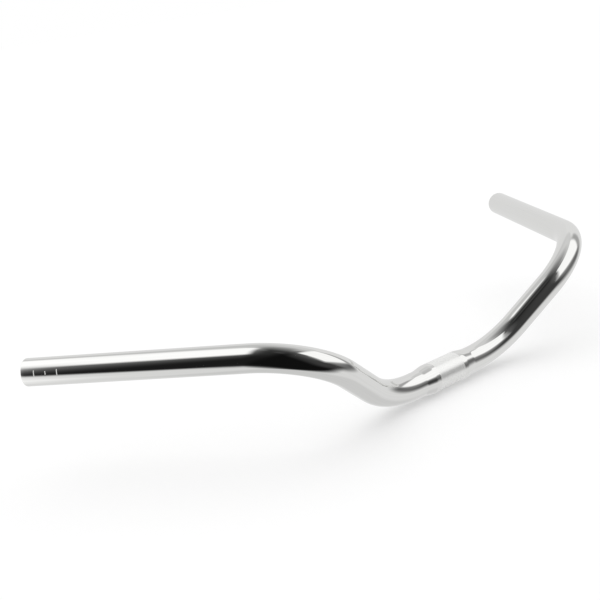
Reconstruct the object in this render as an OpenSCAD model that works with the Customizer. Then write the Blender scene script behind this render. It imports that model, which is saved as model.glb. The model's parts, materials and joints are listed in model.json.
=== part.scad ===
// Swept-back city handlebar: one aluminium tube, swelled where the stem
// clamps it and bent twice on each side.
// Frame: origin at the middle of the clamp seat, +Y along the clamp axis,
// +X towards the front wheel, +Z up, with both grips level.

/* [Tube] */
// Outer diameter of the tube, which takes grips and brake levers
tube_d = 22.2; // [22:0.1:25.4]
// Wall thickness of the tube
wall_t = 2.2; // [1.6:0.1:2.8]
// Chamfer round the outer edge of each open end
end_chamfer = 0.6; // [0.2:0.1:0.8]

/* [Stem clamp seat] */
// Diameter of the seat that the stem clamps
seat_d = 25.4; // [25.4:0.1:31.8]
// Length of the seat at its full diameter
seat_l = 36.8; // [28:0.1:46]
// Wall thickness under the seat
seat_wall_t = 2.6; // [2:0.1:3.4]
// Length of each swell, from the tube's diameter up to the seat's
swell_l = 8.6; // [6:0.1:12]

/* [Inner bend, beside the clamp] */
// Straight length from the middle of the bar to the inner bend
centre_l = 36.4; // [36:0.1:60]
// Radius of the inner bend, at the tube's centreline
inner_bend_r = 83.7; // [60:0.1:120]
// Angle of the inner bend
inner_bend_a = 40.6; // [25:0.1:60]
// Straight length between the inner and the outer bend
link_l = 41.9; // [20:0.1:90]

/* [Outer bend, into the grip] */
// Turn of the tube about its own axis between the two bends
roll_a = 129.3; // [110:0.1:150]
// Radius of the outer bend, at the tube's centreline
outer_bend_r = 61.3; // [45:0.1:100]
// Angle of the outer bend
outer_bend_a = 80.9; // [60:0.1:100]
// Straight length of the grip
grip_l = 183.4; // [120:0.1:220]

/* [Hidden] */
$fn = 96;
// Straight pieces that stand for the curve of each swell
swell_steps = 14;
// Loss of the tube's radius, and of its bore's, round each bend
drawn_in = 0.02;
// Length of a bend's end that lies inside the straight beside it
lap = 0.5;
// Distance by which the bore runs past the open end
past = 1;

tube_r = tube_d / 2;
bore_r = tube_r - wall_t;
seat_r = seat_d / 2;
seat_bore_r = seat_r - seat_wall_t;

// Directions along one side, with the inner bend lying flat: the link runs
// out of the inner bend, and the outer bend turns the grip out of its plane.
link_dir = [sin(inner_bend_a), cos(inner_bend_a), 0];
outer_bend_dir = [
    cos(roll_a) * cos(inner_bend_a),
    -cos(roll_a) * sin(inner_bend_a),
    sin(roll_a)
];
grip_dir = cos(outer_bend_a) * link_dir + sin(outer_bend_a) * outer_bend_dir;
// Pitch about the clamp axis that lays both grips level, pointing back
level_a = atan2(-grip_dir[2], -grip_dir[0]);

// Smooth step from 0 to 1 that starts and ends flat
function ease(t) = t * t * (3 - 2 * t);

// Outline of one swell as [radius, distance from the middle of the bar]
function swell(mid_r, side_r) = [
    for (i = [0:swell_steps])
        let (t = i / swell_steps)
        [mid_r + (side_r - mid_r) * ease(t), seat_l / 2 + swell_l * t]
];

// Outline mirrored to the other side of the middle, and listed the other
// way round so that the two outlines join
function across(outline) = [
    for (i = [len(outline) - 1:-1:0]) [outline[i][0], -outline[i][1]]
];

// Straight length of round rod, then what follows it
module rod(r, l) {
    cylinder(h = l, r = r);
    translate([0, 0, l]) children();
}

// Bend of round rod towards +X, then what follows it. It is drawn in a
// little, and its two ends reach into the straights beside it.
module bend(r, bend_r, a) {
    lap_a = lap / bend_r * 180 / PI;
    translate([bend_r, 0, 0]) {
        rotate([90, 0, 180])
            rotate_extrude(angle = a + 2 * lap_a, start = -lap_a)
                translate([bend_r, 0])
                    circle(r = r - drawn_in);
        rotate([0, a, 0])
            translate([-bend_r, 0, 0])
                children();
    }
}

// Straight centre with its seat and swells
module centre(mid_r, side_r) {
    rotate_extrude()
        polygon(concat(
            [[0, -centre_l], [side_r, -centre_l]],
            across(swell(mid_r, side_r)),
            swell(mid_r, side_r),
            [[side_r, centre_l], [0, centre_l]]
        ));
}

// One side from the centre out to the grip's end, then what follows it
module side(r) {
    translate([0, 0, centre_l])
        bend(r, inner_bend_r, inner_bend_a)
            rod(r, link_l)
                rotate([0, 0, -roll_a])
                    bend(r, outer_bend_r, outer_bend_a)
                        rod(r, grip_l - end_chamfer)
                            children();
}

// Outside of the bar, with the edge of each open end taken off
module outside() {
    centre(seat_r, tube_r);
    for (half = [0, 1])
        mirror([0, 0, half])
            side(tube_r)
                cylinder(h = end_chamfer, r1 = tube_r, r2 = tube_r - end_chamfer);
}

// Bore of the bar, which swells under the seat and runs out of each end
module bore() {
    centre(seat_bore_r, bore_r);
    for (half = [0, 1])
        mirror([0, 0, half])
            side(bore_r)
                cylinder(h = end_chamfer + past, r = bore_r);
}

module handlebar() {
    color("silver")
        rotate([0, level_a, 0])
            rotate([-90, 0, 0])
                difference() {
                    outside();
                    bore();
                }
}

handlebar();
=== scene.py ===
"""City bike handlebar: one bent aluminium tube with its finish, in a plain studio.

Everything is in metres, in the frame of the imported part: the origin is the
middle of the stem clamp seat, +Y runs along the clamp axis, +X to the front
and +Z up, with both grips level.
"""

import json
import math

import bmesh
import bpy
import numpy as np
from bpy.props import (
    FloatProperty,
    FloatVectorProperty,
    IntProperty,
    PointerProperty,
)
from bpy.types import Operator, Panel, PropertyGroup
from mathutils import Matrix, Vector


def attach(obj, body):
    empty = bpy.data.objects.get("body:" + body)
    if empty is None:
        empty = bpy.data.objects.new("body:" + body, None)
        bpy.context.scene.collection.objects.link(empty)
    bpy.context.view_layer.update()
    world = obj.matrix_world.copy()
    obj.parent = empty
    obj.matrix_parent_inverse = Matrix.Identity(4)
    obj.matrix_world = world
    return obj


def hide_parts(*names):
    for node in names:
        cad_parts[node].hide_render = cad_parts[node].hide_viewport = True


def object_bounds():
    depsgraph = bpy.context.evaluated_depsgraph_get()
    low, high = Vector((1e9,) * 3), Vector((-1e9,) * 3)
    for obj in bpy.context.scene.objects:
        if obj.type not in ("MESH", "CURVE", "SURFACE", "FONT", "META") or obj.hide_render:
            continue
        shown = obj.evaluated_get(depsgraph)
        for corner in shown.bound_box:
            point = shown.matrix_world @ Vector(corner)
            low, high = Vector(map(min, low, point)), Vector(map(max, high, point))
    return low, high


bl_info = {
    "name": "City Handlebar",
    "version": (1, 0, 0),
    "blender": (4, 5, 0),
    "location": "View3D > Sidebar > Handlebar",
    "description": "Builds a bent aluminium city handlebar and its studio",
    "category": "Add Mesh",
}

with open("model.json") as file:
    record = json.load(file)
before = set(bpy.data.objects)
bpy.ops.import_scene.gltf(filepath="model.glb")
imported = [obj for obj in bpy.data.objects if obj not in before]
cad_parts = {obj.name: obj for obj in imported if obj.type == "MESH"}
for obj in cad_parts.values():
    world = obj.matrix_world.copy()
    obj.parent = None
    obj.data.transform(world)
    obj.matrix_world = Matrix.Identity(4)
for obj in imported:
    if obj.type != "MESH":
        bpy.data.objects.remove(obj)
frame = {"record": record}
CAD_BOX = [list(corner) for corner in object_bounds()]

MM = 0.001
MOUNTS = {mount["name"]: mount["dims"] for mount in frame["record"]["mounts"]}
TUBE_D = 2 * MM * MOUNTS["left_grip_seat"]["r_mm"]
BORE_D = 2 * MM * MOUNTS["left_end_socket"]["r_mm"]
SEAT_D = 2 * MM * MOUNTS["stem_clamp"]["r_mm"]
SEAT_L = MM * MOUNTS["stem_clamp"]["length_mm"]
FLOOR_Z = CAD_BOX[0][2]

WRAP = "wrap"  # UV map: turn about the tube from 0 to 1, metres along it
END_EDGE = "end_edge"  # point attribute: 1 on the rounded edges of the ends

SEAT_RINGS = 5  # rings along half of the seat
SWELL_RINGS = 25  # rings along each swell
NECK_RINGS = 3  # rings from a swell to the inner bend
EDGE_RINGS = 8  # rings round each rounded edge of an end
FACE_RINGS = 5  # rings across the flat face of an end
BORE_STRIDE = 3  # rings of the skin for each ring of the bore

# Most values of a noise texture lie between these two.
NOISE_LOW, NOISE_HIGH = 0.3, 0.7


def length(name, description, default):
    """A size in metres, shown in the scene's unit."""
    return FloatProperty(
        name=name, description=description, default=default, min=0, unit="LENGTH"
    )


def angle(name, description, degrees):
    """An angle, given here in degrees and kept in radians."""
    return FloatProperty(
        name=name,
        description=description,
        default=math.radians(degrees),
        subtype="ANGLE",
        unit="ROTATION",
    )


def share(name, description, default, most=1.0):
    """A plain number from 0 up to most."""
    return FloatProperty(
        name=name, description=description, default=default, min=0, max=most
    )


def colour(name, description, default):
    """A colour, as red, green and blue."""
    return FloatVectorProperty(
        name=name,
        description=description,
        default=default,
        size=3,
        min=0,
        max=1,
        subtype="COLOR",
    )


class TubeSizes(PropertyGroup):
    """Sizes of the bent tube, from the middle of the clamp out to a grip's end."""

    tube_d: length("Tube diameter", "Outer diameter that takes the grips", TUBE_D)
    bore_d: length("Bore", "Inner diameter at the grips", BORE_D)
    seat_d: length("Seat diameter", "Diameter that the stem clamps", SEAT_D)
    seat_l: length("Seat length", "Length at the full seat diameter", SEAT_L)
    seat_wall: length("Seat wall", "Wall thickness under the seat", 2.6 * MM)
    swell_l: length("Swell", "Length from the tube's to the seat's diameter", 12 * MM)
    swell_ease: share("Swell easing", "Share of the swell that rounds each end", 0.15)
    centre_l: length("Centre", "Straight from the middle to the inner bend", 36.4 * MM)
    inner_r: length("Inner bend radius", "Radius at the centreline", 83.7 * MM)
    inner_a: angle("Inner bend", "Angle of the bend beside the clamp", 40.6)
    link_l: length("Link", "Straight between the two bends", 41.9 * MM)
    roll_a: angle("Roll", "Turn of the tube about itself between the bends", 129.3)
    outer_r: length("Outer bend radius", "Radius at the centreline", 61.3 * MM)
    outer_a: angle("Outer bend", "Angle of the bend into the grip", 80.9)
    grip_l: length("Grip", "Straight length of the grip", 183.4 * MM)
    end_round: length("End rounding", "Radius of the outer edge at each end", 0.85 * MM)
    mouth_round: length("Mouth rounding", "Radius of the bore's edge", 0.35 * MM)
    draw_in: length("Draw-in", "How far the bends stay inside the solid", 0.06 * MM)
    draw_ease: length("Draw-in easing", "Length over which it comes on", 10 * MM)
    straight_step: length("Straight step", "Longest face along a straight", 4 * MM)
    bend_step: length("Bend step", "Longest face along a bend", 1.4 * MM)
    sides: IntProperty(
        name="Sides", description="Faces round the tube", default=120, min=24
    )


class TubeFinish(PropertyGroup):
    """Finish of the polished tube, its matt clamp band, its bore and its ticks."""

    metal: colour("Metal", "Colour of the polished skin", (0.82, 0.82, 0.807))
    bore_metal: colour("Bore", "Colour of the unpolished bore", (0.62, 0.62, 0.61))
    polish: share("Polish roughness", "Roughness of the polished skin", 0.035)
    matt: share("Matt roughness", "Roughness of the clamp band", 0.29)
    haze: share("Matt haze", "Share of the band that scatters as chalk does", 0.38)
    bore_shine: share("Bore shine", "How metallic the dull bore still looks", 0.5)
    drawn: share("Bore roughness", "Roughness of the unpolished bore", 0.42)
    band_l: length("Matt band", "Length of the matt band at the clamp", 30 * MM)
    tick_w: length("Tick width", "Width of the grip setting ticks", 0.7 * MM)
    tick_turn: angle("Tick place", "Where the ticks lie round the tube", 104)
    tick_span: angle("Tick span", "How far each tick runs round the tube", 26)
    paint: colour("Tick paint", "Colour of the grip setting ticks", (0.8, 0.8, 0.78))


class StudioLight(PropertyGroup):
    """Levels of the studio: what lights matt surfaces and what metal mirrors."""

    fill: share("Fill", "Light on matt surfaces from all round", 0.88, 4)
    key: share("Key", "Strength of the soft light from overhead", 0.5, 20)
    key_spread: angle("Key spread", "Angle that the soft light covers", 70)
    paper: colour("Floor", "Colour of the pale floor", (0.7, 0.7, 0.7))
    paper_lift: share("Floor lift", "Whiteness added where it is background", 0.3)
    table: share("Table", "Level of the pale table in the metal", 0.693, 4)
    tent: share("Tent", "Level of the light tent in the metal", 0.804, 4)


# Surface of the tube


def pieces_of_side(sizes):
    """One side as (length, bend radius or None, roll before it), middle outwards."""
    return (
        (sizes.centre_l, None, 0.0),
        (sizes.inner_r * sizes.inner_a, sizes.inner_r, 0.0),
        (sizes.link_l, None, 0.0),
        (sizes.outer_r * sizes.outer_a, sizes.outer_r, -sizes.roll_a),
        (sizes.grip_l, None, 0.0),
    )


def reach_of_side(sizes):
    """Length of the centreline from the middle to an end."""
    return sum(run for run, _, _ in pieces_of_side(sizes))


def chain(sizes):
    """Where each piece of one side starts, as columns: distance, point, direction,
    the way it bends, two cross directions and curvature. Then the direction of
    the grip. A straight carries on along its direction, and a bend turns
    everything about its own axis."""
    at, ahead = np.zeros(3), np.array((0.0, 1.0, 0.0))
    inward = np.array((1.0, 0.0, 0.0))
    across = np.array(((-1.0, 0.0, 0.0), (0.0, 0.0, -1.0)))
    far, rows = 0.0, []
    for run, radius, roll in pieces_of_side(sizes):
        inward = turned(inward, ahead, roll)
        rows.append((far, at, ahead, inward, *across, 1 / radius if radius else 0.0))
        bent = run / radius if radius else 0.0
        axis = np.cross(ahead, inward)
        if radius:
            at = at + radius * (math.sin(bent) * ahead + (1 - math.cos(bent)) * inward)
        else:
            at = at + run * ahead
        ahead, inward = turned(ahead, axis, bent), turned(inward, axis, bent)
        across = turned(across, axis, bent)
        far += run
    return [np.array(column) for column in zip(*rows)], ahead


def turned(v, axis, bent):
    """Vectors turned about a unit axis: v cos a + (axis x v) sin a + axis
    (axis . v)(1 - cos a). The angles may be one number or one for each vector."""
    along = (v * axis).sum(-1, keepdims=True)
    return (
        v * np.cos(bent)
        + np.cross(axis, v) * np.sin(bent)
        + axis * along * (1 - np.cos(bent))
    )


def carried(distance, sizes):
    """Centreline points and the two cross directions at distances from the
    middle, negative on the -Y side. On a straight the point is p + t d. On a
    bend of radius R it is p + R sin(a) d + R (1 - cos a) n with a = t / R, and
    the cross directions turn by a about d x n. The whole is pitched about Y so
    that the grips are level, and the -Y side is the mirror image."""
    (start, at, ahead, inward, u, v, curve), grip = chain(sizes)
    near = np.abs(distance)
    k = np.clip(np.searchsorted(start, near, side="right") - 1, 0, len(start) - 1)
    t, c = (near - start[k])[:, None], curve[k][:, None]
    bent, round_it = t * c, 1 / np.where(c > 0, c, 1)
    forward = np.where(c > 0, np.sin(bent) * round_it, t)
    aside = np.where(c > 0, (1 - np.cos(bent)) * round_it, 0)
    points = at[k] + forward * ahead[k] + aside * inward[k]
    axis = np.cross(ahead[k], inward[k])
    level = math.atan2(-grip[2], -grip[0])
    pitch = np.array(Matrix.Rotation(level, 3, "Y"))
    side = np.where(distance < 0, -1.0, 1.0)[:, None] * (0, 1, 0) + (1, 0, 1)
    return [
        (row @ pitch.T) * side
        for row in (points, turned(u[k], axis, bent), turned(v[k], axis, bent))
    ]


def swelled(distance, middle, end, sizes):
    """Radius from middle to end over each swell: a straight taper that starts and
    stops in a parabola over the share b, so f = t t / 2 b up to b and t - b / 2
    past it, with t the way from the nearer end of the swell."""
    t = np.clip((np.abs(distance) - sizes.seat_l / 2) / sizes.swell_l, 0, 1)
    b, near = sizes.swell_ease, np.minimum(t, 1 - t)
    f = np.where(near < b, near**2 / (2 * b), near - b / 2) / (1 - b)
    return middle + (end - middle) * np.where(t > 0.5, 1 - f, f)


def drawn_in(distance, sizes):
    """How far the skin is drawn in: a fifth of draw_in on the seat and the grips,
    and all of it from the first bend to the last, because the solid's bends are
    flat facets inside the true circle. It comes on as t t (3 - 2 t)."""
    near, straights = np.abs(distance), 0.2
    last = reach_of_side(sizes) - sizes.grip_l
    inside = np.minimum(near - sizes.centre_l, last - near) / sizes.draw_ease
    t = np.clip(inside + 1, 0, 1)
    return sizes.draw_in * (straights + (1 - straights) * t * t * (3 - 2 * t))


def stations(sizes, stop):
    """Distances of the rings from -stop to stop, with short faces on the bends
    and the swells, and long ones on the straights."""
    swell = sizes.seat_l / 2 + sizes.swell_l * np.linspace(0, 1, SWELL_RINGS)
    cuts, far = [np.linspace(0, swell[0], SEAT_RINGS), swell], 0.0
    for run, radius, _ in pieces_of_side(sizes):
        step = sizes.bend_step if radius else sizes.straight_step
        if far == 0:
            cuts.append(np.linspace(swell[-1], run, NECK_RINGS))
        else:
            cuts.append(far + np.linspace(0, run, math.ceil(run / step) + 1))
        far += run
    # Rings at the same place become one, and none crowds the last.
    rings = np.unique(np.round(np.concatenate(cuts), 7))
    rings = np.append(rings[rings < stop - sizes.straight_step / 4], stop)
    return np.concatenate((-rings[:0:-1], rings))


def outline(sizes):
    """The closed outline of the tube's wall as distance, radius and edge mask,
    with the number of rings on the skin: along the skin, round the rounded outer
    edge, over the end's face, round the mouth's edge and back through the bore,
    then the same at the other end."""
    reach = reach_of_side(sizes)
    skin_r, bore_r = sizes.tube_d / 2, sizes.bore_d / 2
    skin = stations(sizes, reach - sizes.end_round)
    bore = stations(sizes, reach - sizes.mouth_round)[::-BORE_STRIDE]
    sweep = np.linspace(0, math.pi / 2, EDGE_RINGS + 1)[1:]
    out, mouth = sizes.end_round, sizes.mouth_round
    edge = (
        reach - out + out * np.sin(sweep),
        skin_r - out + out * np.cos(sweep),
    )
    lip = (
        reach - mouth + mouth * np.cos(sweep),
        bore_r + mouth - mouth * np.sin(sweep),
    )
    face_r = np.linspace(skin_r - out, bore_r + mouth, FACE_RINGS + 1)[1:]
    end = np.concatenate((edge[0], np.full(face_r.size, reach), lip[0]))
    end_r = np.concatenate((edge[1], face_r, lip[1]))
    distance = np.concatenate((skin, end, bore[1:-1], -end[::-1]))
    radius = np.concatenate(
        (
            swelled(skin, sizes.seat_d / 2, skin_r, sizes) - drawn_in(skin, sizes),
            end_r,
            swelled(bore[1:-1], sizes.seat_d / 2 - sizes.seat_wall, bore_r, sizes),
            end_r[::-1],
        )
    )
    rounded = np.concatenate(
        (np.ones(edge[0].size), np.zeros(face_r.size), np.ones(lip[0].size))
    )
    mask = np.concatenate(
        (np.zeros(skin.size), rounded, np.zeros(bore.size - 2), rounded[::-1])
    )
    return distance, radius, mask, skin.size


def tube_skin(sizes):
    """The bent tube as one closed surface of two parameters, the place on the
    wall's outline and the turn about the centreline: a point is
    c(s) + r (cos a u(s) + sin a v(s)), where the outline gives s and r."""
    distance, radius, mask, skin_rings = outline(sizes)
    points, u, v = carried(distance, sizes)
    rings, sides = distance.size, sizes.sides
    a = (2 * math.pi * np.arange(sides) / sides)[None, :, None]
    spoke = np.cos(a) * u[:, None] + np.sin(a) * v[:, None]
    verts = (points[:, None] + radius[:, None, None] * spoke).reshape(-1, 3)

    ring, side = np.meshgrid(np.arange(rings), np.arange(sides), indexing="ij")
    ring, side = ring.ravel(), side.ravel()
    ring_on, side_on = (ring + 1) % rings, (side + 1) % sides
    corners = np.stack(
        (
            ring * sides + side,
            ring_on * sides + side,
            ring_on * sides + side_on,
            ring * sides + side_on,
        ),
        axis=1,
    )
    along = np.stack((distance[ring], distance[ring_on]), axis=1)[:, [0, 1, 1, 0]]
    around = np.stack((side, side, side + 1, side + 1), axis=1) / sides

    mesh = bpy.data.meshes.new("tube")
    mesh.from_pydata(verts, [], corners)
    wrap = mesh.uv_layers.new(name=WRAP)
    wrap.uv.foreach_set(
        "vector", np.stack((around, along), axis=2).astype(np.float32).ravel()
    )
    edges = mesh.attributes.new(END_EDGE, "FLOAT", "POINT")
    edges.data.foreach_set("value", np.repeat(mask, sides).astype(np.float32))
    # The ends' faces, the mouths' edges and the bore have the second material.
    inside = (ring >= skin_rings + EDGE_RINGS) & (ring < rings - EDGE_RINGS)
    mesh.polygons.foreach_set("material_index", inside.astype(np.int32))
    mesh.shade_smooth()
    mesh.validate()
    return mesh


# Shaders


def place(tree, kind, inputs=None, **settings):
    """Adds a node, and sets or links its inputs by name or number."""
    made = tree.nodes.new(kind)
    for name, value in settings.items():
        setattr(made, name, value)
    for key, value in (inputs or {}).items():
        if isinstance(value, bpy.types.NodeSocket):
            tree.links.new(value, made.inputs[key])
        else:
            made.inputs[key].default_value = value
    return made


def calc(tree, operation, *values):
    """One step of arithmetic on numbers or sockets."""
    return place(
        tree, "ShaderNodeMath", dict(enumerate(values)), operation=operation
    ).outputs[0]


def fade(tree, value, start, end, low=0.0, high=1.0):
    """A smooth step from low to high as value goes from start to end."""
    inputs = {"Value": value, "From Min": start, "From Max": end}
    inputs |= {"To Min": low, "To Max": high}
    return place(
        tree, "ShaderNodeMapRange", inputs, interpolation_type="SMOOTHSTEP"
    ).outputs[0]


def mixed(tree, mask, low, high):
    """A number between two, by a mask."""
    return place(tree, "ShaderNodeMix", {0: mask, 2: low, 3: high}).outputs[0]


def two_colours(tree, mask, low, high):
    """A colour between two, by a mask. Each may be a colour or a socket."""
    inputs = {0: mask, 6: low, 7: high}
    return place(tree, "ShaderNodeMix", inputs, data_type="RGBA").outputs[2]


def shaded(base, times):
    """A colour made lighter or darker, with its alpha."""
    return (*(Vector(base) * times), 1)


def noise(tree, at, scale, detail, roughness=0.5):
    """Smooth noise over a vector."""
    inputs = {"Vector": at, "Scale": scale, "Detail": detail, "Roughness": roughness}
    return place(tree, "ShaderNodeTexNoise", inputs).outputs[0]


def bumped(tree, height, strength, distance):
    """The surface's normal, tilted by a height."""
    inputs = {"Height": height, "Strength": strength, "Distance": distance}
    return place(tree, "ShaderNodeBump", inputs).outputs[0]


def vector(tree, x, y, z):
    """Three numbers or sockets as one vector."""
    return place(tree, "ShaderNodeCombineXYZ", {0: x, 1: y, 2: z}).outputs[0]


def new_group(name, inputs, outputs):
    """A shader group with named inputs and outputs, and the sockets to build it
    between. The sockets are None if the group has been made already."""
    if name in bpy.data.node_groups:
        return bpy.data.node_groups[name], None, None
    group = bpy.data.node_groups.new(name, "ShaderNodeTree")
    for in_out, sockets in (("INPUT", inputs), ("OUTPUT", outputs)):
        for title, value in sockets.items():
            kind = "NodeSocketFloat" if isinstance(value, float) else "NodeSocketVector"
            made = group.interface.new_socket(title, in_out=in_out, socket_type=kind)
            made.default_value = value
    taken = group.nodes.new("NodeGroupInput").outputs
    given = group.nodes.new("NodeGroupOutput").inputs
    return group, taken, given


def polish_lines():
    """Group: fine lines left by polishing and drawing, and soft clouds. Around
    gives lines that run round the tube, and Along lines that run down it. Each
    is noise squeezed across its lines and stretched along them."""
    group, taken, given = new_group(
        "polish_lines",
        {"Wrap": (0.0, 0.0, 0.0), "Object": (0.0, 0.0, 0.0)},
        {"Around": 0.0, "Along": 0.0, "Clouds": 0.0},
    )
    if taken is None:
        return group
    wrap = place(group, "ShaderNodeSeparateXYZ", {0: taken["Wrap"]}).outputs
    body = place(group, "ShaderNodeSeparateXYZ", {0: taken["Object"]}).outputs
    clouds = noise(group, taken["Object"], 38.0, 3.0, 0.55)

    across_rings, round_rings = 2600.0, 30.0
    round_it = vector(
        group,
        calc(group, "MULTIPLY", wrap[1], across_rings),
        calc(group, "MULTIPLY", body[0], round_rings),
        calc(group, "MULTIPLY", body[2], round_rings),
    )
    around = noise(group, round_it, 1.0, 2.0, 0.7)

    across_lines, down_lines = 34.0, 9.0
    turn = calc(group, "MULTIPLY", wrap[0], 2 * math.pi)
    down_it = vector(
        group,
        calc(group, "MULTIPLY", calc(group, "COSINE", turn), across_lines),
        calc(group, "MULTIPLY", calc(group, "SINE", turn), across_lines),
        calc(group, "MULTIPLY", wrap[1], down_lines),
    )
    along = noise(group, down_it, 1.0, 2.0, 0.6)
    for name, value in (("Around", around), ("Along", along), ("Clouds", clouds)):
        group.links.new(value, given[name])
    return group


def surface(material):
    """The nodes that every finish of the tube starts from: its tree, its shader,
    the wrap and object coordinates and the polishing lines."""
    tree = material.node_tree
    shader = tree.nodes["Principled BSDF"]
    wrap = place(tree, "ShaderNodeUVMap", uv_map=WRAP).outputs[0]
    body = place(tree, "ShaderNodeTexCoord").outputs["Object"]
    lines = place(
        tree,
        "ShaderNodeGroup",
        {"Wrap": wrap, "Object": body},
        node_tree=polish_lines(),
    ).outputs
    return tree, shader, wrap, body, lines


def polished_aluminium(finish, sizes):
    """Polished skin: a bright mirror with faint lines round it and soft clouds
    in its gloss, a blasted matt band where the stem clamps, wear on the rounded
    ends and painted setting ticks near each grip's end."""
    material = bpy.data.materials.new("polished_aluminium")
    material.use_nodes = True
    tree, shader, wrap, body, lines = surface(material)
    around, along, _ = place(tree, "ShaderNodeSeparateXYZ", {0: wrap}).outputs
    away = calc(tree, "ABSOLUTE", along)

    # The band's edge wanders by about a tenth of a millimetre, as a masked edge
    # does. Noise is about a half on average, so half of wander goes to the band.
    wander, soft = 0.4 * MM, 0.2 * MM
    ragged = noise(tree, body, 900.0, 1.0)
    edge_at = calc(tree, "MULTIPLY_ADD", ragged, wander, away)
    half = (finish.band_l + wander) / 2
    band = fade(tree, edge_at, half - soft, half + soft, 1.0, 0.0)
    blast = noise(tree, body, 2600.0, 3.0, 0.6)

    reach = reach_of_side(sizes)
    ticks = tick_marks(tree, around, calc(tree, "SUBTRACT", reach, away), finish)
    worn = place(tree, "ShaderNodeAttribute", attribute_name=END_EDGE).outputs["Fac"]

    swing, line_depth = 0.015, 0.02
    duller, glossier = finish.polish + swing, finish.polish - swing
    gloss = fade(tree, lines["Clouds"], 0.35, NOISE_HIGH, glossier, duller)
    gloss = calc(tree, "MULTIPLY_ADD", lines["Around"], line_depth, gloss)
    smoothest, coarsest = finish.matt - 0.05, finish.matt + 0.07
    matt = fade(tree, blast, NOISE_LOW, NOISE_HIGH, smoothest, coarsest)
    worn_rough, paint_rough = 0.24, 0.5
    rough = mixed(tree, band, gloss, matt)
    rough = mixed(tree, worn, rough, worn_rough)
    rough = mixed(tree, ticks, rough, paint_rough)

    metal = finish.metal
    streaks = fade(tree, lines["Along"], NOISE_LOW, NOISE_HIGH)
    skin = two_colours(tree, streaks, shaded(metal, 0.97), shaded(metal, 1.02))
    grit = two_colours(tree, blast, shaded(metal, 1.08), shaded(metal, 1.16))
    skin = two_colours(tree, band, skin, grit)
    skin = two_colours(tree, ticks, skin, shaded(finish.paint, 1))

    # The lines are a twentieth as deep as the blasted grain.
    relief = calc(tree, "MULTIPLY", lines["Around"], 0.05)
    relief = mixed(tree, band, relief, blast)
    shine = fade(tree, band, 0, 1, 1.0, 1 - finish.haze)
    shine = mixed(tree, ticks, shine, 0.0)

    tree.links.new(skin, shader.inputs["Base Color"])
    tree.links.new(rough, shader.inputs["Roughness"])
    tree.links.new(shine, shader.inputs["Metallic"])
    tree.links.new(bumped(tree, relief, 0.5, 0.04 * MM), shader.inputs["Normal"])
    return material


# Setting ticks, as the distance from the tube's end and the share of their span
TICKS = ((12 * MM, 1.0), (22 * MM, 0.6), (32 * MM, 1.0))


def tick_marks(tree, around, from_end, finish):
    """Mask of three short ticks across the tube, for setting both grips alike."""
    middle = finish.tick_turn / (2 * math.pi)
    off = calc(tree, "ABSOLUTE", calc(tree, "SUBTRACT", around, middle))
    half_w, side_soft, end_soft, mask = finish.tick_w / 2, 0.2, 0.003, None
    for back, spread in TICKS:
        gap = calc(tree, "ABSOLUTE", calc(tree, "SUBTRACT", from_end, back))
        inner, outer = half_w * (1 - side_soft), half_w * (1 + side_soft)
        across = fade(tree, gap, inner, outer, 1.0, 0.0)
        half = spread * finish.tick_span / (4 * math.pi)
        run = fade(tree, off, half - end_soft, half, 1.0, 0.0)
        tick = calc(tree, "MULTIPLY", across, run)
        mask = tick if mask is None else calc(tree, "MAXIMUM", mask, tick)
    return mask


def drawn_bore(finish):
    """Unpolished bore: dull metal with the lines that drawing the tube left."""
    material = bpy.data.materials.new("drawn_bore")
    material.use_nodes = True
    tree, shader, _, _, lines = surface(material)
    metal = finish.bore_metal
    streaks = fade(tree, lines["Along"], NOISE_LOW, NOISE_HIGH)
    skin = two_colours(tree, streaks, shaded(metal, 0.75), shaded(metal, 1.1))
    smoothest, coarsest = finish.drawn - 0.06, finish.drawn + 0.1
    rough = fade(tree, lines["Clouds"], NOISE_LOW, NOISE_HIGH, smoothest, coarsest)
    bump = bumped(tree, lines["Along"], 0.4, 0.1 * MM)
    tree.links.new(skin, shader.inputs["Base Color"])
    tree.links.new(rough, shader.inputs["Roughness"])
    tree.links.new(bump, shader.inputs["Normal"])
    shader.inputs["Metallic"].default_value = finish.bore_shine
    return material


# Studio

FLOOR_HALF = 40.0  # half the floor's side, so wide that no horizon shows

# What the metal mirrors: a round light tent, by its middle and its radius. The
# table shows in it below the lower of two heights, as shares of the radius, and
# fades out up to the higher.
TENT_AT, TENT_R = (-0.07, 0.0, 0.102), 0.756
TABLE_EDGE = (-0.887, -0.767)

# Soft-edged panels on the tent. Each is given by the way from the tent's middle as
# turn and height in degrees, its roll in degrees, its half width and half height
# as tangents, the softness of its side and top edges, and its level. Later ones
# cover earlier ones. The haze is narrower than nothing, so only the outer part of
# its soft side edges shows, as a faint veil.
PANELS = {
    "ceiling": (31.3, 114.6, 38.2, 0.643, 2.035, 0.146, 0.252, 0.632),
    "room_side": (-62.5, 10.8, -47.8, 1.004, 0.862, 0.895, 0.143, 0.013),
    "room_top": (-27.5, 58.2, -109.3, 0.855, 0.427, 0.961, 0.287, 0.027),
    "room": (-13.9, 1.9, 43.8, 2.996, 0.864, 1.61, 0.27, 0.006),
    "wall": (30.0, 16.4, 6.9, 1.077, 0.789, 0.479, 0.324, 0.05),
    "haze": (58.3, 39.0, -40.5, -1.213, 1.243, 3.01, 0.484, 1.11),
    "sill": (45.0, 21.0, -0.8, 0.743, 0.319, 0.104, 0.075, 0.428),
    "window": (42.1, 31.5, -2.7, 0.539, 0.426, 0.08, 0.08, 1.152),
    "lamp": (-126.6, 11.8, 9.1, 0.388, 1.137, 0.179, 0.669, 1.25),
    "softbox": (-105.4, 52.5, 35.6, 0.258, 0.451, 0.109, 0.136, 1.198),
}


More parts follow.
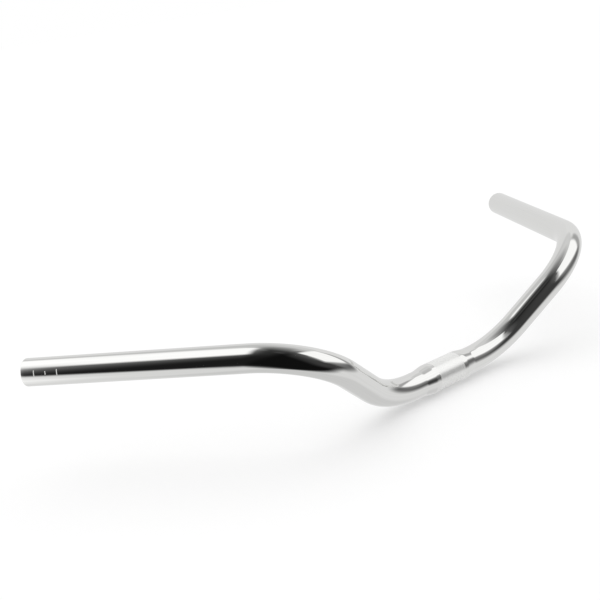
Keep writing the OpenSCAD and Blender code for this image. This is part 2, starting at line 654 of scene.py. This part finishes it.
def panel_group():
    """Group: one soft-edged flat panel over what lies behind it. The direction
    is turned into the panel's own frame, where y / x and z / x say how far it is
    from the middle."""
    group, taken, given = new_group(
        "studio_panel",
        {
            "Behind": 0.0,
            "Direction": (0.0, 0.0, 0.0),
            "Turn": (0.0, 0.0, 0.0),
            "Half Width": 1.0,
            "Half Height": 1.0,
            "Side Softness": 0.1,
            "Top Softness": 0.1,
            "Level": 1.0,
        },
        {"Level": 0.0},
    )
    if taken is None:
        return group
    local = place(
        group,
        "ShaderNodeVectorRotate",
        {"Vector": taken["Direction"], "Rotation": taken["Turn"]},
        rotation_type="EULER_XYZ",
        invert=True,
    ).outputs[0]
    x, y, z = place(group, "ShaderNodeSeparateXYZ", {0: local}).outputs
    # A direction beside or behind the panel's middle never meets its plane.
    least = 0.02
    mask = calc(group, "GREATER_THAN", x, least)
    ahead = calc(group, "MAXIMUM", x, least)
    for aside, half, soft in (
        (y, taken["Half Width"], taken["Side Softness"]),
        (z, taken["Half Height"], taken["Top Softness"]),
    ):
        off = calc(group, "DIVIDE", calc(group, "ABSOLUTE", aside), ahead)
        inside = calc(group, "DIVIDE", calc(group, "SUBTRACT", half, off), soft)
        edge = fade(group, inside, -1.0, 1.0)
        mask = calc(group, "MULTIPLY", mask, edge)
    level = mixed(group, mask, taken["Behind"], taken["Level"])
    group.links.new(level, given["Level"])
    return group


def shows_background(tree):
    """Mask of the rays that show the background: straight from the camera, off
    metal and through glass."""
    ray = place(tree, "ShaderNodeLightPath").outputs
    mirrored = calc(tree, "MAXIMUM", ray["Is Glossy Ray"], ray["Is Transmission Ray"])
    return calc(tree, "MAXIMUM", ray["Is Camera Ray"], mirrored)


def studio_world(light):
    """White background, and plain light on matt surfaces."""
    world = bpy.data.worlds.new("studio")
    world.use_nodes = True
    world.cycles.sampling_method = "NONE"
    tree = world.node_tree
    level = mixed(tree, shows_background(tree), light.fill, 1.0)
    tree.links.new(level, tree.nodes["Background"].inputs["Color"])
    bpy.context.scene.world = world


def light_tent(light):
    """The studio that the metal mirrors: a sphere round the bar that nothing but
    a reflection sees, pale, with a dark room, a window and a softbox on it."""
    shape = bmesh.new()
    bmesh.ops.create_icosphere(shape, subdivisions=5, radius=TENT_R)
    bmesh.ops.translate(shape, verts=shape.verts, vec=TENT_AT)
    bmesh.ops.reverse_faces(shape, faces=shape.faces)
    mesh = bpy.data.meshes.new("light_tent")
    shape.to_mesh(mesh)
    shape.free()
    tent = bpy.data.objects.new("light_tent", mesh)
    bpy.context.collection.objects.link(tent)
    for kind in ("camera", "diffuse", "transmission", "volume_scatter", "shadow"):
        setattr(tent, f"visible_{kind}", False)

    material = bpy.data.materials.new("light_tent")
    material.use_nodes = True
    material.cycles.emission_sampling = "NONE"
    tree = material.node_tree
    body = place(tree, "ShaderNodeTexCoord").outputs["Object"]
    way = place(
        tree, "ShaderNodeVectorMath", {0: body, 1: TENT_AT}, operation="SUBTRACT"
    ).outputs[0]
    way = place(tree, "ShaderNodeVectorMath", {0: way}, operation="NORMALIZE")
    way = way.outputs[0]
    height = place(tree, "ShaderNodeSeparateXYZ", {0: way}).outputs[2]
    level = fade(tree, height, *TABLE_EDGE, light.table, light.tent)
    for turn, up, roll, wide, tall, side_soft, top_soft, bright in PANELS.values():
        panel = tree.nodes.new("ShaderNodeGroup")
        panel.node_tree = panel_group()
        for name, value in {
            "Turn": tuple(map(math.radians, (roll, -up, turn))),
            "Half Width": wide,
            "Half Height": tall,
            "Side Softness": side_soft,
            "Top Softness": top_soft,
            "Level": bright,
        }.items():
            panel.inputs[name].default_value = value
        tree.links.new(level, panel.inputs["Behind"])
        tree.links.new(way, panel.inputs["Direction"])
        level = panel.outputs[0]
    glow = place(tree, "ShaderNodeEmission", {"Color": level}).outputs[0]
    tree.links.new(glow, tree.nodes["Material Output"].inputs["Surface"])
    tree.nodes.remove(tree.nodes["Principled BSDF"])
    mesh.materials.append(material)


def paper_floor(light):
    """Pale paper under the bar. The camera sees it white where nothing shades it."""
    grid = np.array(((-1, -1), (1, -1), (1, 1), (-1, 1))) * FLOOR_HALF
    mesh = bpy.data.meshes.new("floor")
    mesh.from_pydata(np.column_stack((grid, np.full(4, FLOOR_Z))), [], [(0, 1, 2, 3)])
    floor = bpy.data.objects.new("floor", mesh)
    bpy.context.collection.objects.link(floor)
    floor.visible_glossy = False
    material = bpy.data.materials.new("paper")
    material.use_nodes = True
    tree = material.node_tree
    shader = tree.nodes["Principled BSDF"]
    shader.inputs["Roughness"].default_value = 0.9
    shader.inputs["Specular IOR Level"].default_value = 0.0
    body = place(tree, "ShaderNodeTexCoord").outputs["Object"]
    fibre = noise(tree, body, 60.0, 4.0)
    paper = light.paper
    shade = two_colours(tree, fibre, shaded(paper, 0.995), shaded(paper, 1.005))
    tree.links.new(shade, shader.inputs["Base Color"])
    lift = calc(tree, "MULTIPLY", shows_background(tree), light.paper_lift)
    tree.links.new(lift, shader.inputs["Emission Strength"])
    shader.inputs["Emission Color"].default_value = (1, 1, 1, 1)
    mesh.materials.append(material)


def key_lamp(light):
    """Broad soft light overhead, which gives the shadow on the floor its side. It
    is a sun, so only the way from its stand to the middle counts."""
    lamp = bpy.data.lights.new("key", "SUN")
    lamp.angle, lamp.energy = light.key_spread, light.key
    holder = bpy.data.objects.new("key", lamp)
    stand = Vector((-0.5, 0.3, 1.7))
    holder.matrix_world = Matrix.Translation(stand) @ (
        (-stand).to_track_quat("-Z", "Y").to_matrix().to_4x4()
    )
    holder.visible_glossy = False
    bpy.context.collection.objects.link(holder)


def camera():
    """The camera of the photograph: where it stands, what it looks at, its roll
    about that line and its lens."""
    stand = Vector((0.67158, -0.6845, 0.3234))
    look = Vector((-0.0825, -0.07181, 0.07676))
    made = bpy.data.cameras.new("camera")
    made.lens, made.sensor_width = 72.0, 36.0
    holder = bpy.data.objects.new("camera", made)
    aim = (look - stand).to_track_quat("-Z", "Y").to_matrix().to_4x4()
    roll = Matrix.Rotation(math.radians(-9.34), 4, "Z")
    holder.matrix_world = Matrix.Translation(stand) @ aim @ roll
    bpy.context.collection.objects.link(holder)
    bpy.context.scene.camera = holder


# Operators and panel


class HANDLEBAR_OT_tube(Operator):
    """Build the bent tube with its polished skin, matt band and bore"""

    bl_idname = "handlebar.tube"
    bl_label = "Bent Tube"

    def execute(self, context):
        sizes, finish = context.scene.tube_sizes, context.scene.tube_finish
        mesh = tube_skin(sizes)
        mesh.materials.append(polished_aluminium(finish, sizes))
        mesh.materials.append(drawn_bore(finish))
        tube = bpy.data.objects.new("bent_tube", mesh)
        context.collection.objects.link(tube)
        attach(tube, "root")
        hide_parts("handlebar")
        return {"FINISHED"}


class HANDLEBAR_OT_studio(Operator):
    """Set up the pale floor, the soft light and the camera"""

    bl_idname = "handlebar.studio"
    bl_label = "Studio"

    def execute(self, context):
        light = context.scene.studio_light
        paper_floor(light)
        studio_world(light)
        light_tent(light)
        key_lamp(light)
        camera()
        context.scene.view_settings.view_transform = "Standard"
        return {"FINISHED"}


class HANDLEBAR_PT_build(Panel):
    """The steps that build the handlebar, with their sizes and colours"""

    bl_idname = "HANDLEBAR_PT_build"
    bl_label = "City Handlebar"
    bl_space_type = "VIEW_3D"
    bl_region_type = "UI"
    bl_category = "Handlebar"

    def draw(self, context):
        scene = context.scene
        for step, groups in (
            (HANDLEBAR_OT_tube, (scene.tube_sizes, scene.tube_finish)),
            (HANDLEBAR_OT_studio, (scene.studio_light,)),
        ):
            box = self.layout.box()
            box.operator(step.bl_idname)
            for group in groups:
                for name in group.__annotations__:
                    box.prop(group, name)


CLASSES = (
    TubeSizes,
    TubeFinish,
    StudioLight,
    HANDLEBAR_OT_tube,
    HANDLEBAR_OT_studio,
    HANDLEBAR_PT_build,
)


def register():
    for each in CLASSES:
        bpy.utils.register_class(each)
    bpy.types.Scene.tube_sizes = PointerProperty(type=TubeSizes)
    bpy.types.Scene.tube_finish = PointerProperty(type=TubeFinish)
    bpy.types.Scene.studio_light = PointerProperty(type=StudioLight)


def unregister():
    del bpy.types.Scene.studio_light
    del bpy.types.Scene.tube_finish
    del bpy.types.Scene.tube_sizes
    for each in reversed(CLASSES):
        bpy.utils.unregister_class(each)


def main():
    register()
    bpy.ops.handlebar.tube()
    bpy.ops.handlebar.studio()


if __name__ == "__main__":
    main()
